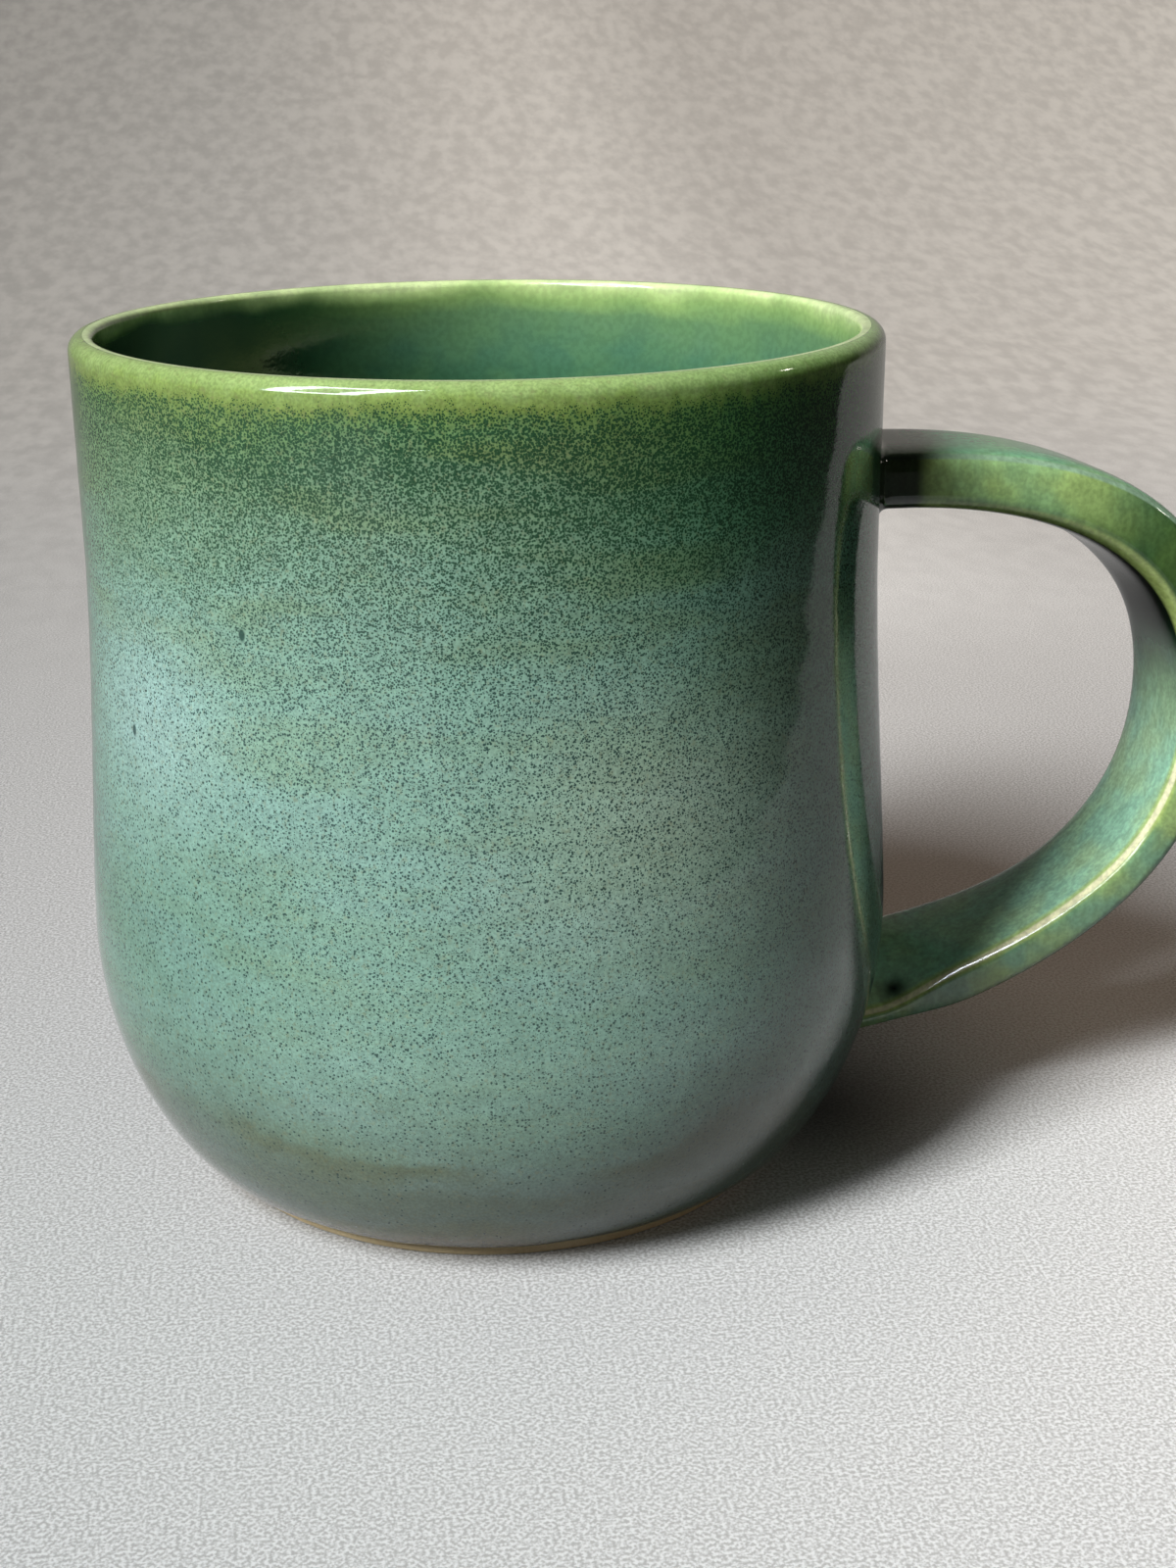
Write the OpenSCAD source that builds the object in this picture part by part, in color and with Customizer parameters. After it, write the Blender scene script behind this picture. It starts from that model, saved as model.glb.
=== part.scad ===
// Hand-thrown stoneware mug with a pulled strap handle, in millimetres.
// Origin at the centre of the foot's underside, +Z up, handle towards +X.

/* [Cup] */
// Height of the clay cup, from the table to the top of the lip
cup_h = 93.6; // [84:0.1:114]
// Outside diameter of the clay at the lip and down to the waist
rim_d = 85.3; // [72:0.1:102]
// Outside diameter of the clay at the belly, its widest place
belly_d = 89.6; // [80:0.1:106]
// Height of the widest place
belly_z = 28; // [23:0.5:36]
// Height above which the wall is straight
waist_z = 72; // [62:0.5:80]
// Thickness of the wall up to the waist
wall_t = 4.3; // [3:0.1:6]
// Thickness of the wall at the lip, which it thins to above the waist
lip_t = 2; // [1.4:0.1:3]
// Thickness of the floor above the recess of the foot
floor_t = 6; // [4:0.1:9]
// Diameter of the flat part of the inside floor
floor_flat_d = 44; // [24:1:56]

/* [Foot] */
// Outside diameter of the foot where it meets the table
foot_d = 66.8; // [56:0.2:72]
// Height of the band of bare clay
foot_h = 1.7; // [1:0.1:3]
// How much wider the band is at its top, on each side
foot_lean = 0.5; // [0:0.1:1.5]
// Width of the ring that the mug stands on
foot_ring_w = 5; // [3:0.5:9]
// Depth of the recess inside the ring
foot_recess = 2.2; // [1:0.1:4]
// Width of the softened corners of the ring
foot_corner = 0.4; // [0.1:0.1:0.8]

/* [Handle] */
// Height of the middle of the strap where its upper end leaves the wall
upper_root_z = 76.5; // [66:0.1:84]
// Height of the middle of the strap where its lower end meets the wall
lower_root_z = 14.3; // [12:0.1:22]
// How far the middle of the strap stands out from the lip's outside, at its furthest
reach = 39.2; // [32:0.1:50]
// Height of the strap's furthest place
reach_z = 49.8; // [42:0.1:60]
// Width of the strap along its upper half
upper_w = 16.6; // [12:0.1:20]
// Width of the strap at its lower end
lower_w = 14.6; // [11:0.1:18]
// Thickness of the strap at its upper end
upper_root_t = 6.2; // [4:0.1:8]
// Thickness of the strap at its shoulder
shoulder_t = 7.2; // [5:0.1:9]
// Thickness of the strap below its furthest place, where it is thinnest
thin_t = 4.5; // [3:0.1:7]
// Thickness of the strap at its lower end
lower_root_t = 5.4; // [3:0.1:7]
// How far the near edge leans outward at the shoulder, in degrees
shoulder_twist = 3.6; // [0:0.1:8]
// How far the lower end is pressed on askew, in degrees
lower_twist = 16; // [0:1:22]
// How square the strap's section is, from an ellipse at 2 to a sharp rectangle
strap_square = 4.5; // [2:0.1:8]

/* [Handle curve] */
// How far the top of the loop runs level before it turns, as a share of its run
upper_fill = 0.45; // [0.3:0.01:0.7]
// How full the upper corner of the loop is, as a share of its drop
shoulder_fill = 0.82; // [0.5:0.01:0.9]
// How full the lower corner of the loop is, as a share of its drop
heel_fill = 0.76; // [0.5:0.01:0.85]
// How far the lower end runs straight to the wall, as a share of its run
lower_fill = 0.28; // [0.2:0.01:0.5]
// Slope of the strap where its lower end meets the wall, in degrees
lower_slope = 14; // [0:1:20]

/* [Coats] */
// Thickness of the glaze
glaze_t = 0.35; // [0.2:0.05:0.6]
// Thickness of the slip under each end of the handle
slip_t = 0.4; // [0.2:0.05:0.8]

/* [Hidden] */

clay_colour = "#c9ab85";
slip_colour = "#a8895f";
glaze_colour = "#5f8f78";
lip_colour = "#8ca85a";

// How finely the curves are divided
turn_sides = 96;
curve_steps = 14;
lip_steps = 6;
strap_steps = 24;
strap_sides = 24;
patch_rings = 3;

rim_r = rim_d / 2;
belly_r = belly_d / 2;
foot_r = foot_d / 2;
floor_z = foot_recess + floor_t;
floor_flat_r = floor_flat_d / 2;
// The lip's rounding, full on its outside and slight on its inside
lip_r = 0.62 * lip_t;
lip_inner_r = 0.2 * lip_t;

// The tangents of the cup's two curves, from the band of bare clay to the belly and on to the waist
base_flare = [4.8, 2.3];
belly_pull = 13;
belly_lift = 8;
waist_pull = 14;
lip_pull = 8;

// Where the strap is thickest and thinnest, and where it leans and starts to go askew
shoulder_at = 0.6;
thin_at = 1.2;
lean_at = 0.7;
askew_at = 1.4;
// The first full section of the strap stands this far off the wall
root_lead = 2.5;

function mix(a, b, t) = a + (b - a) * t;
function ease(t) = let (c = max(0, min(1, t))) c * c * (3 - 2 * c);
function unit(v) = v / norm(v);
function reversed(line) = [for (i = [len(line) - 1:-1:0]) line[i]];
function stretch(line, first, last) = [for (i = [first:last]) line[i]];
function joined(lists) = [for (l = lists) for (item = l) item];

// A cubic curve through four points, and its direction
function curve(p, t) =
    pow(1 - t, 3) * p[0] + 3 * pow(1 - t, 2) * t * p[1] + 3 * (1 - t) * t * t * p[2] + pow(t, 3) * p[3];
function heading(p, t) =
    unit(pow(1 - t, 2) * (p[1] - p[0]) + 2 * (1 - t) * t * (p[2] - p[1]) + t * t * (p[3] - p[2]));

// ---- The cup's outline, as [radius, height], from the top of the bare band over the lip to the floor

foot_top = [foot_r + foot_lean, foot_h];
belly = [belly_r, belly_z];
waist = [rim_r, waist_z];

base_curve = [foot_top, foot_top + base_flare, belly - [0, belly_pull], belly];
taper_curve = [belly, belly + [0, belly_lift], waist - [0, waist_pull], waist];
floor_corner = [belly_r - wall_t, floor_z];
inner_curve = [
    belly - [wall_t, 0], mix(belly - [wall_t, 0], floor_corner, 2 / 3),
    mix([floor_flat_r, floor_z], floor_corner, 2 / 3), [floor_flat_r, floor_z]
];

base_line = [for (i = [0:curve_steps]) curve(base_curve, i / curve_steps)];
taper_line = [for (i = [1:curve_steps]) curve(taper_curve, i / curve_steps)];
lip_line = concat(
    [for (i = [0:lip_steps]) let (a = 90 * i / lip_steps) [rim_r - lip_r, cup_h - lip_r] + lip_r * [cos(a), sin(a)]],
    [
        for (i = [0:lip_steps])
            let (a = 90 + 90 * i / lip_steps)
            [rim_r - lip_t + lip_inner_r, cup_h - lip_inner_r] + lip_inner_r * [cos(a), sin(a)]
    ]
);
thinning_curve = [
    [rim_r - lip_t, cup_h - lip_inner_r], [rim_r - lip_t, cup_h - lip_inner_r - lip_pull],
    waist - [wall_t, -lip_pull], waist - [wall_t, 0]
];
thinning_line = [for (i = [1:curve_steps - 1]) curve(thinning_curve, i / curve_steps)];
inner_taper_line = [for (p = reversed(taper_line)) p - [wall_t, 0]];
inner_line = [for (i = [0:curve_steps]) curve(inner_curve, i / curve_steps)];

cup_line = concat(
    base_line, taper_line, lip_line, thinning_line, inner_taper_line, inner_line, [[0, floor_z]]
);
crest = len(base_line) + len(taper_line) + lip_steps;
last = len(cup_line) - 1;

// The same outline with the glaze on it
function facing(line, i) =
    let (d = unit(line[min(i + 1, len(line) - 1)] - line[max(i - 1, 0)])) [d[1], -d[0]];
coat_line = [for (i = [0:last]) cup_line[i] + glaze_t * facing(cup_line, i)];

// Radius of the clay and of the glazed wall at a height
clay_table = [for (p = stretch(cup_line, 0, crest - lip_steps)) [p[1], p[0]]];
coat_table = [for (p = stretch(coat_line, 0, crest - lip_steps)) [p[1], p[0]]];

// ---- The strap: a curve in the XZ plane in two halves, 0 to 1 down to its furthest place and on to 2

reach_x = rim_r + reach;
upper_x = lookup(upper_root_z, clay_table) + root_lead;
lower_x = lookup(lower_root_z, clay_table) + root_lead;
upper_half = [
    [upper_x, upper_root_z],
    [mix(upper_x, reach_x, upper_fill), upper_root_z],
    [reach_x, mix(reach_z, upper_root_z, shoulder_fill)],
    [reach_x, reach_z]
];
lower_half = [
    [reach_x, reach_z],
    [reach_x, mix(reach_z, lower_root_z, heel_fill)],
    [lower_x, lower_root_z] + lower_fill * (reach_x - lower_x) * [cos(lower_slope), sin(lower_slope)],
    [lower_x, lower_root_z]
];

function strap_point(s) = s <= 1 ? curve(upper_half, s) : curve(lower_half, s - 1);
function strap_heading(s) = s <= 1 ? heading(upper_half, s) : heading(lower_half, s - 1);
function strap_width(s) = mix(upper_w, lower_w, ease((s - thin_at) / (2 - thin_at)));
function strap_thickness(s) =
    s < shoulder_at ? mix(upper_root_t, shoulder_t, ease(s / shoulder_at))
    : s < thin_at ? mix(shoulder_t, thin_t, ease((s - shoulder_at) / (thin_at - shoulder_at)))
    : mix(thin_t, lower_root_t, ease((s - thin_at) / (2 - thin_at)));
function strap_twist(s) =
    -shoulder_twist * (s < lean_at ? ease(s / lean_at) : 1 - ease((s - lean_at) / (askew_at - lean_at)))
    - lower_twist * ease((s - askew_at) / (2 - askew_at));

// One coordinate of a rounded rectangle of half size 1
function squared(v) = sign(v) * pow(abs(v), 2 / strap_square);

// The section at s, grown on all sides, as points in space
function section(s, grow) =
    let (
        c = strap_point(s), d = strap_heading(s),
        w = strap_width(s) / 2 + grow, t = strap_thickness(s) / 2 + grow, twist = strap_twist(s)
    )
    [
        for (i = [0:strap_sides - 1])
            let (
                a = 360 * i / strap_sides,
                across = w * squared(cos(a)), proud = t * squared(sin(a)),
                y = across * cos(twist) - proud * sin(twist),
                n = across * sin(twist) + proud * cos(twist)
            )
            [c[0] - n * d[1], y, c[1] + n * d[0]]
    ];

// The section at one end carried on to the wall, as [y, z]
function footprint(s, grow) =
    let (d = strap_heading(s))
    [for (p = section(s, grow)) [p[1], p[2] - d[1] / d[0] * (p[0] - lookup(p[2], clay_table))]];

// A point of a footprint on the round wall
function landed(p, table, off) = [sqrt(pow(lookup(p[1], table) + off, 2) - p[0] * p[0]), p[0], p[1]];
function middle(outline) =
    [0, (max([for (p = outline) p[1]]) + min([for (p = outline) p[1]])) / 2];
function patch(outline, table, off) = [
    for (k = [patch_rings - 1:-1:0])
        [for (p = outline) landed(mix(p, middle(outline), k / patch_rings), table, off)]
];

sections = [for (i = [0:strap_steps]) 2 * i / strap_steps];

// ---- Skins over a row of loops, closed by a point at each end or joined into a ring

// The triangles between loops i and j. Turned, each four-sided field is cut along its other diagonal,
// so that a band laid back over another meets it exactly.
function band(i, j, sides, turned = false) = [
    for (a = [0:sides - 1])
        let (
            next = (a + 1) % sides,
            near = i * sides + a, far = j * sides + a,
            near_next = i * sides + next, far_next = j * sides + next
        )
        each turned
            ? [[near, far, near_next], [near_next, far, far_next]]
            : [[near, far_next, near_next], [near, far, far_next]]
];

module skin(loops, start, end) {
    sides = len(loops[0]);
    points = joined(loops);
    total = len(points);
    caps = [
        for (a = [0:sides - 1])
            let (b = (a + 1) % sides)
            each [[total, a, b], [total + 1, total - sides + b, total - sides + a]]
    ];
    bands = joined([for (i = [0:len(loops) - 2]) band(i, i + 1, sides)]);
    polyhedron(points = concat(points, [start, end]), faces = concat(caps, bands));
}

module ring_skin(outside, inside) {
    loops = concat(outside, inside);
    bands = joined([
        for (i = [0:len(loops) - 1])
            band(i, (i + 1) % len(loops), len(outside[0]), turned = i >= len(outside))
    ]);
    polyhedron(points = joined(loops), faces = bands);
}

// The hole that one end of the handle leaves in the glaze
module root_prism(outline) {
    rotate([90, 0, 90]) linear_extrude(belly_d) polygon(outline);
}

// ---- The pieces

module body() {
    ring_in = foot_r - foot_ring_w;
    foot_line = [
        [0, foot_recess], [ring_in, foot_recess], [ring_in, foot_corner], [ring_in + foot_corner, 0],
        [foot_r - foot_corner, 0], [foot_r, foot_corner]
    ];
    color(clay_colour) rotate_extrude($fn = turn_sides) polygon(concat(foot_line, cup_line));
}

module handle() {
    upper = footprint(0, 0);
    lower = footprint(2, 0);
    loops = concat(
        patch(upper, clay_table, slip_t),
        [for (s = sections) section(s, 0)],
        reversed(patch(lower, clay_table, slip_t))
    );
    color(clay_colour)
        skin(loops, landed(middle(upper), clay_table, slip_t), landed(middle(lower), clay_table, slip_t));
}

module upper_slip_joint() {
    outline = footprint(0, 0);
    loops = concat(patch(outline, clay_table, 0), reversed(patch(outline, clay_table, slip_t)));
    color(slip_colour)
        skin(loops, landed(middle(outline), clay_table, 0), landed(middle(outline), clay_table, slip_t));
}

module lower_slip_joint() {
    outline = footprint(2, 0);
    loops = concat(patch(outline, clay_table, slip_t), reversed(patch(outline, clay_table, 0)));
    color(slip_colour)
        skin(loops, landed(middle(outline), clay_table, slip_t), landed(middle(outline), clay_table, 0));
}

module outer_glaze() {
    clay_side = stretch(cup_line, 0, crest);
    glaze_side = reversed(stretch(coat_line, 0, crest));
    color(glaze_colour)
        difference() {
            rotate_extrude($fn = turn_sides) polygon(concat(clay_side, glaze_side));
            root_prism(footprint(0, 0));
            root_prism(footprint(2, 0));
        }
}

module liner_glaze() {
    clay_side = stretch(cup_line, crest, last);
    glaze_side = reversed(stretch(coat_line, crest, last));
    color(lip_colour) rotate_extrude($fn = turn_sides) polygon(concat(clay_side, glaze_side));
}

module handle_glaze() {
    outside = concat(
        [[for (p = footprint(0, glaze_t)) landed(p, coat_table, 0)]],
        [for (s = sections) section(s, glaze_t)],
        [[for (p = footprint(2, glaze_t)) landed(p, coat_table, 0)]]
    );
    inside = concat(
        [[for (p = footprint(2, 0)) landed(p, coat_table, 0)]],
        [for (s = reversed(sections)) section(s, 0)],
        [[for (p = footprint(0, 0)) landed(p, coat_table, 0)]]
    );
    color(glaze_colour) ring_skin(outside, inside);
}

body();
handle();
upper_slip_joint();
lower_slip_joint();
outer_glaze();
liner_glaze();
handle_glaze();
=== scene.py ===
import math
import bmesh
import bpy
from mathutils import Matrix, Vector, noise
from mathutils.geometry import interpolate_bezier


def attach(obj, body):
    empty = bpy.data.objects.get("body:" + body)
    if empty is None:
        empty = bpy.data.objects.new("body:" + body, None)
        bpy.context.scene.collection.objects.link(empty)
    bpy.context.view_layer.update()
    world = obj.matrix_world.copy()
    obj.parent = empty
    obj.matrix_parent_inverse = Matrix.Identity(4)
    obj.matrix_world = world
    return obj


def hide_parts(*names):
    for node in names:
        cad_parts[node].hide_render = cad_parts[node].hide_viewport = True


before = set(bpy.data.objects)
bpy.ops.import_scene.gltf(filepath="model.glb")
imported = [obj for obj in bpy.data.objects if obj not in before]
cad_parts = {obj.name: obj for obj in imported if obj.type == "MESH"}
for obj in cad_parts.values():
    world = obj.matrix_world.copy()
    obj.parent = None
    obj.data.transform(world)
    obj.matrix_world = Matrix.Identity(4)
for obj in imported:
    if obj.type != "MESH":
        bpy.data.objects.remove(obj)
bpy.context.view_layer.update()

mm = 0.001
print("frame loaded:", sorted(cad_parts))


def linear(hexColour):
    # an sRGB hex colour as the linear one that the shaders take
    parts = [int(hexColour[i:i + 2], 16) / 255 for i in (1, 3, 5)]
    return tuple(c / 12.92 if c <= 0.04045 else ((c + 0.055) / 1.055) ** 2.4 for c in parts) + (1.0,)


def ease(t):
    t = min(1.0, max(0.0, t))
    return t * t * (3 - 2 * t)


def mix(a, b, t):
    return a + (b - a) * t


# --- the cup: one outline, turned. Radii and heights in millimetres.
cup = {
    "rimRadius": 42.65,       # clay, from the waist to the lip
    "bellyRadius": 44.78,
    "bellyHeight": 28.0,
    "waistHeight": 72.0,
    "height": 93.6,
    "wall": 4.3,
    "lip": 2.0,               # clay at the lip, which the wall thins to above the waist
    "lipRound": 1.24,         # outer edge of the lip
    "lipInnerRound": 0.4,
    "footRadius": 33.4,
    "bandHeight": 1.7,        # bare clay
    "bandLean": 0.5,
    "floorHeight": 8.2,
    "floorRadius": 22.0,      # flat part of the inside
    "ringInside": 28.4,
    "recess": 2.2,
    "cornerRadius": 0.45,
    "hollowCorner": 0.5,      # where the foot ring meets the recess
    "glaze": 0.35,
    "turnSteps": 240,
    "curveSteps": 44,
    "rearDip": 0.3,           # the lip is this much lower at the back
    "lipWave": 0.05,
    "dipFrom": 60, "dipOver": 34,
    "throwingRing": 0.01,     # height of the rings that the fingers left
    "throwingPitch": 6.5,
    "ringsStart": 12, "ringsEnd": 86, "ringsFade": 6,
    "glazeEdgeWave": 0.28,    # how far the glaze's lower edge wanders
    # how far each curve of the outline holds its direction at its ends
    "footLead": (4.8, 2.3), "bellyLeadDown": 13, "bellyLeadUp": 8, "waistLead": 14, "thinningLead": 8,
}


def pointAt(radius, height):
    return Vector((radius, 0, height))


def arc(centre, radius, start, end, steps):
    turn = [math.radians(mix(start, end, i / steps)) for i in range(steps + 1)]
    return [centre + radius * Vector((math.cos(a), 0, math.sin(a))) for a in turn]


def joinLines(*lines):
    # one line out of several, without the points that two of them share
    whole = []
    for line in lines:
        for p in line:
            if not whole or (p - whole[-1]).length > 1e-4:
                whole.append(p)
    return whole


def coated(line, thickness):
    # the same line, moved out of the clay by the glaze's thickness
    moved = []
    for i, p in enumerate(line):
        along = line[min(i + 1, len(line) - 1)] - line[max(i - 1, 0)]
        moved.append(p + thickness * Vector((along.z, 0, -along.x)).normalized())
    return moved


bandTop = pointAt(cup["footRadius"] + cup["bandLean"], cup["bandHeight"])
belly = pointAt(cup["bellyRadius"], cup["bellyHeight"])
waist = pointAt(cup["rimRadius"], cup["waistHeight"])
lipCentre = pointAt(cup["rimRadius"] - cup["lipRound"], cup["height"] - cup["lipRound"])
lipInnerCentre = pointAt(cup["rimRadius"] - cup["lip"] + cup["lipInnerRound"],
                         cup["height"] - cup["lipInnerRound"])
crest = lipCentre + pointAt(0, cup["lipRound"])
wallIn = pointAt(-cup["wall"], 0)
floorEdge = pointAt(cup["floorRadius"], cup["floorHeight"])
floorCorner = pointAt(cup["bellyRadius"] - cup["wall"], cup["floorHeight"])
steps = cup["curveSteps"]

baseLine = interpolate_bezier(bandTop, bandTop + pointAt(*cup["footLead"]),
                              belly - pointAt(0, cup["bellyLeadDown"]), belly, steps)
taperLine = interpolate_bezier(belly, belly + pointAt(0, cup["bellyLeadUp"]),
                               waist - pointAt(0, cup["waistLead"]), waist, steps)
straightLine = [waist.lerp(lipCentre + pointAt(cup["lipRound"], 0), i / 12) for i in range(13)]
lipOut = arc(lipCentre, cup["lipRound"], 0, 89.4, 20) + [crest]
lipIn = [crest] + arc(lipInnerCentre, cup["lipInnerRound"], 90, 180, 14)
thinningLead = pointAt(0, cup["thinningLead"])
thinningLine = interpolate_bezier(lipIn[-1], lipIn[-1] - thinningLead, waist + wallIn + thinningLead,
                                  waist + wallIn, steps)
innerBase = interpolate_bezier(belly + wallIn, (belly + wallIn).lerp(floorCorner, 2 / 3),
                               floorEdge.lerp(floorCorner, 2 / 3), floorEdge, steps)
outsideLine = joinLines(baseLine, taperLine, straightLine, lipOut)
insideLine = joinLines(lipIn, thinningLine, [p + wallIn for p in reversed(taperLine)], innerBase,
                       [pointAt(r, cup["floorHeight"]) for r in (18, 13, 8, 4, 1.5, 0)])


def handmade(p):
    # small departures from a true turned shape, the same for the clay and both glazes
    angle = math.atan2(p.y, p.x)
    up = ease((p.z - cup["dipFrom"]) / cup["dipOver"])
    behind = 0.5 + 0.5 * math.sin(angle)
    dip = -cup["rearDip"] * up * behind
    wave = cup["lipWave"] * up * (math.sin(2 * angle + 0.6) - 1)
    swirl = math.sin(2 * math.pi * p.z / cup["throwingPitch"] + angle)
    ringed = ease(p.z / cup["ringsStart"]) * (1 - ease((p.z - cup["ringsEnd"]) / cup["ringsFade"]))
    ring = -cup["throwingRing"] * (1 + swirl) * ringed
    radius = max(math.hypot(p.x, p.y), 1e-6)
    grow = 1 + ring / radius
    return Vector((p.x * grow, p.y * grow, p.z + dip + wave))


def turned(name, line, closed, material, extra=None):
    # the line is spun once round the cup's axis, welded, and given its small departures
    mesh = bmesh.new()
    verts = [mesh.verts.new(p) for p in line]
    pairs = list(zip(verts, verts[1:])) + ([(verts[-1], verts[0])] if closed else [])
    edges = [mesh.edges.new(pair) for pair in pairs]
    bmesh.ops.spin(mesh, geom=verts + edges, cent=(0, 0, 0), axis=(0, 0, 1), dvec=(0, 0, 0),
                   angle=2 * math.pi, steps=cup["turnSteps"], use_merge=True, use_duplicate=False)
    bmesh.ops.remove_doubles(mesh, verts=mesh.verts, dist=1e-4)
    for v in mesh.verts:
        v.co = handmade(extra(v.co) if extra else v.co)
    return finished(name, mesh, material)


def finished(name, mesh, material, sharpAngle=35):
    bmesh.ops.recalc_face_normals(mesh, faces=mesh.faces)
    for f in mesh.faces:
        f.smooth = True
    for e in mesh.edges:
        e.smooth = len(e.link_faces) == 2 and e.calc_face_angle(0) < math.radians(sharpAngle)
    bmesh.ops.scale(mesh, vec=(mm, mm, mm), verts=mesh.verts)
    data = bpy.data.meshes.new(name)
    mesh.to_mesh(data)
    mesh.free()
    data.materials.append(material)
    piece = bpy.data.objects.new(name, data)
    bpy.context.scene.collection.objects.link(piece)
    return piece


def add(tree, kind, settings=None, inputs=None, stops=None):
    # one node with its settings, a value or a link for each named input, and a ramp's stops
    node = tree.nodes.new(kind)
    for key, value in (settings or {}).items():
        setattr(node, key, value)
    for key, value in (inputs or {}).items():
        if isinstance(value, bpy.types.NodeSocket):
            tree.links.new(value, node.inputs[key])
        else:
            node.inputs[key].default_value = value
    for i, (position, colour) in enumerate(stops or []):
        elements = node.color_ramp.elements
        stop = elements[i] if i < 2 else elements.new(position)
        stop.position, stop.color = position, colour
    return node


# settings that many nodes share
soft = {"interpolation_type": "SMOOTHSTEP"}
blended = {"data_type": "RGBA"}
multiplied = {"data_type": "RGBA", "blend_type": "MULTIPLY"}
times = {"operation": "MULTIPLY"}
timesPlus = {"operation": "MULTIPLY_ADD"}
plus = {"operation": "ADD"}
minusClamped = {"operation": "SUBTRACT", "use_clamp": True}
larger = {"operation": "MAXIMUM"}
scaled = {"operation": "SCALE"}
dotProduct = {"operation": "DOT_PRODUCT"}
vectorLength = {"operation": "LENGTH"}
# measured along this, the wall runs from -1 at the left to 1 at the right, beside the handle
acrossCup = Vector((0.0233, -0.0031, 0))


def newMaterial(name):
    # an empty material, and its own coordinates in millimetres
    material = bpy.data.materials.new(name)
    material.use_nodes = True
    tree = material.node_tree
    tree.nodes.clear()
    coords = add(tree, "ShaderNodeTexCoord")
    place = add(tree, "ShaderNodeMapping", inputs={"Vector": coords.outputs["Object"], "Scale": (1 / mm,) * 3})
    return material, tree, place.outputs[0]


def clouded(tree, place, size, low, high, detail=2.0, stretch=(1, 1, 1), shift=(0, 0, 0)):
    # soft patches about size millimetres across: 0 where the noise is under low, 1 where it is over high
    at = add(tree, "ShaderNodeMapping", inputs={"Vector": place, "Location": shift,
                                                "Scale": tuple(1 / (size * k) for k in stretch)})
    cloud = add(tree, "ShaderNodeTexNoise", inputs={"Vector": at.outputs[0], "Scale": 1.0, "Detail": detail})
    return add(tree, "ShaderNodeMapRange", soft, {0: cloud.outputs[0], 1: low, 2: high}).outputs[0]


def nearPoint(tree, place, point, size, stretch=(1, 1, 1)):
    # 1 at the point, falling to 0 at size millimetres from it
    at = add(tree, "ShaderNodeMapping", {"vector_type": "TEXTURE"},
             {"Vector": place, "Location": point, "Scale": tuple(size * k for k in stretch)})
    away = add(tree, "ShaderNodeVectorMath", vectorLength, {0: at.outputs[0]})
    return add(tree, "ShaderNodeMapRange", soft,
               {0: away.outputs["Value"], 1: 0.0, 2: 1.0, 3: 1.0, 4: 0.0}).outputs[0]


def scattered(tree, place, spacing):
    # many scattered points: the distance to the nearest, in units of their spacing, and its own random number
    at = add(tree, "ShaderNodeMapping", inputs={"Vector": place, "Scale": (1 / spacing,) * 3})
    cells = add(tree, "ShaderNodeTexVoronoi", inputs={"Vector": at.outputs[0], "Scale": 1.0})
    lot = add(tree, "ShaderNodeSeparateColor", inputs={0: cells.outputs["Color"]})
    return cells.outputs["Distance"], lot.outputs[0]


def rampStops(values, low, high):
    # a ramp's stops, out of pairs of a place in millimetres and a colour or a grey
    return [((at - low) / (high - low), tint if isinstance(tint, tuple) else (tint, tint, tint, 1))
            for at, tint in values]


def finishGlaze(tree, colour, rough, place):
    # fired glass: glossy, with a faint ripple 4.5 mm across and pinholes of 0.6 mm
    ripple = add(tree, "ShaderNodeTexNoise", inputs={"Vector": place, "Scale": 1 / 4.5, "Detail": 1.0})
    pits = add(tree, "ShaderNodeTexNoise", inputs={"Vector": place, "Scale": 1 / 0.6, "Detail": 1.0})
    broadBump = add(tree, "ShaderNodeBump", inputs={
        "Height": ripple.outputs[0], "Strength": 1.0, "Distance": 0.013 * mm})
    fineBump = add(tree, "ShaderNodeBump", inputs={
        "Height": pits.outputs[0], "Strength": 1.0, "Distance": 0.005 * mm, "Normal": broadBump.outputs[0]})
    shader = add(tree, "ShaderNodeBsdfPrincipled", inputs={
        "Base Color": colour, "Roughness": rough, "IOR": 1.52, "Normal": fineBump.outputs[0]})
    add(tree, "ShaderNodeOutputMaterial", inputs={"Surface": shader.outputs[0]})


def withShare(hexColour, share):
    return linear(hexColour)[:3] + (share,)


glazeTop = 94.0  # the height at which the wall's ramps end
# the wall's glaze by height in millimetres: its colour between the specks, and the share that is specks
wallByHeight = [
    (2.5, "#84794f", 0.0), (4.2, "#75815c", 0.0), (7, "#748b7e", 0.0), (11.5, "#728677", 0.0),
    (16, "#779284", 0.01), (19.5, "#82a598", 0.03), (23, "#88b0a3", 0.06), (35, "#89b4a6", 0.09),
    (52, "#8db8ab", 0.12), (60, "#8fbaac", 0.16), (66, "#8eb9ab", 0.2), (73.5, "#8ab4a4", 0.28),
    (77, "#85ae9a", 0.35), (80.8, "#80a78f", 0.43), (84.3, "#799f81", 0.53), (87, "#729778", 0.62),
    (89.6, "#6c9463", 0.6), (90.9, "#739552", 0.42), (91.5, "#809b50", 0.16), (92.1, "#90ad5f", 0.0),
    (92.9, "#94b26e", 0.0), (93.6, "#a4c27e", 0.0),
]
# the dark specks' radius, in units of their spacing, for the share of the surface that they cover
speckRadius = [(0.0, 0.0), (0.01, 0.13), (0.04, 0.21), (0.12, 0.31), (0.25, 0.41), (0.5, 0.55), (0.65, 0.63)]
# milky blooms: one on the left, and a wide faint one towards the handle
blooms = [
    {"point": (-36.8, -25, 58.5), "size": 19, "strength": 0.6, "colour": "#b0d6d8"},
    {"point": (13, -42.5, 52), "size": 25, "strength": 0.55, "colour": "#b8cfba"},
]


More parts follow.
